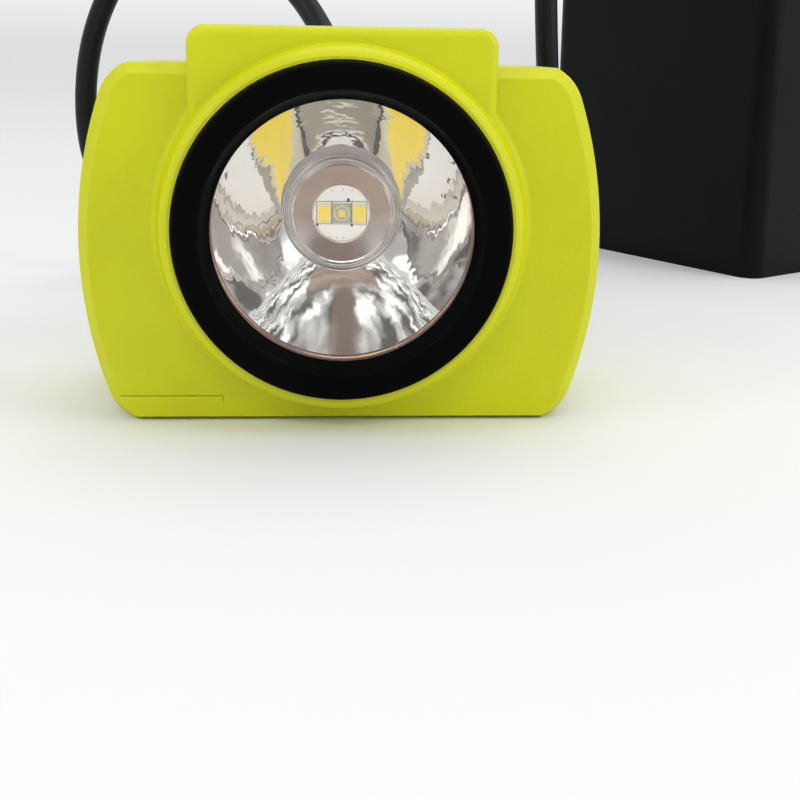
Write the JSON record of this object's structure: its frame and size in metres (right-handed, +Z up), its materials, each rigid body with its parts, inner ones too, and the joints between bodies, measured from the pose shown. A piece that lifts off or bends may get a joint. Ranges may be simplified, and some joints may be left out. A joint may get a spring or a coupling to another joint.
{
  "type": "miner's cap lamp",
  "caption": "Corded cap lamp: clip-on headpiece with winged housing and deep mirror reflector, cable, and a belt-worn battery pack.",
  "frame": {"origin": "middle of the ground face under the headpiece", "axes": "+Z up, the lens looks along -Y, +X is to the right seen from the front"},
  "size_m": [0.2173, 0.2201, 0.1591],
  "materials": {
    "lime_shell": "satin, fine spark grain",
    "black_seal": "matte",
    "black_bezel": "matte",
    "clear_lens": "polished",
    "mirror_bowl": "vacuum-metallised",
    "chrome_deck": "polished",
    "white_board": "satin solder mask",
    "led_phosphor": "silicone over phosphor",
    "alloy": "die-cast",
    "green_board": "solder mask",
    "dark_parts": "moulded",
    "black_button": "matte",
    "steel": "brushed",
    "brass_parts": "polished",
    "black_gland": "moulded",
    "black_rubber": "satin",
    "cable_jacket": "satin",
    "tie_fabric": "woven hook and loop",
    "black_case": "moulded, fine texture",
    "cell_wrap": "shrink sleeve",
    "cell_frame": "moulded"
  },
  "bodies": {
    "lamp": {"battery_cells": "cell_wrap", "belt_loops": "black_case", "bezel_ring": "black_bezel", "board_parts": "dark_parts", "button_boot": "black_seal", "button_spring": "steel", "cable_boot": "black_rubber", "cable_gland": "black_gland", "cable_sleeve": "black_rubber", "cell_cover": "cell_frame", "cell_tray": "cell_frame", "charging_contacts": "brass_parts", "clip_screws": "steel", "coil_tie": "tie_fabric", "cord_coil": "cable_jacket", "cord_front": "cable_jacket", "cord_rear": "cable_jacket", "driver_board": "green_board", "driver_parts": "dark_parts", "front_housing": "lime_shell", "gland_nut": "black_gland", "heat_sink": "alloy", "helmet_clip": "steel", "housing_screws": "steel", "housing_seal": "black_seal", "led_board": "white_board", "led_collar": "chrome_deck", "lens": "clear_lens", "lens_seal": "black_seal", "main_led": "led_phosphor", "pack_cap": "black_case", "pack_case": "black_case", "pack_screws": "steel", "pack_seal": "black_seal", "protection_board": "green_board", "rear_housing": "lime_shell", "reflector": "mirror_bowl", "side_leds": "led_phosphor", "strain_relief": "black_rubber", "switch_board": "green_board", "tact_switch": "dark_parts"},
    "button": {"power_button": "black_button"}
  },
  "joints": [
    {"name": "button_press", "type": "slide", "parent": "lamp", "child": "button", "axis": [0, 0, -1], "range_m": [0, 0.0012], "stiffness_N_per_m": 900, "springref_m": -0.0008, "deforming": ["button_spring"]}
  ]
}
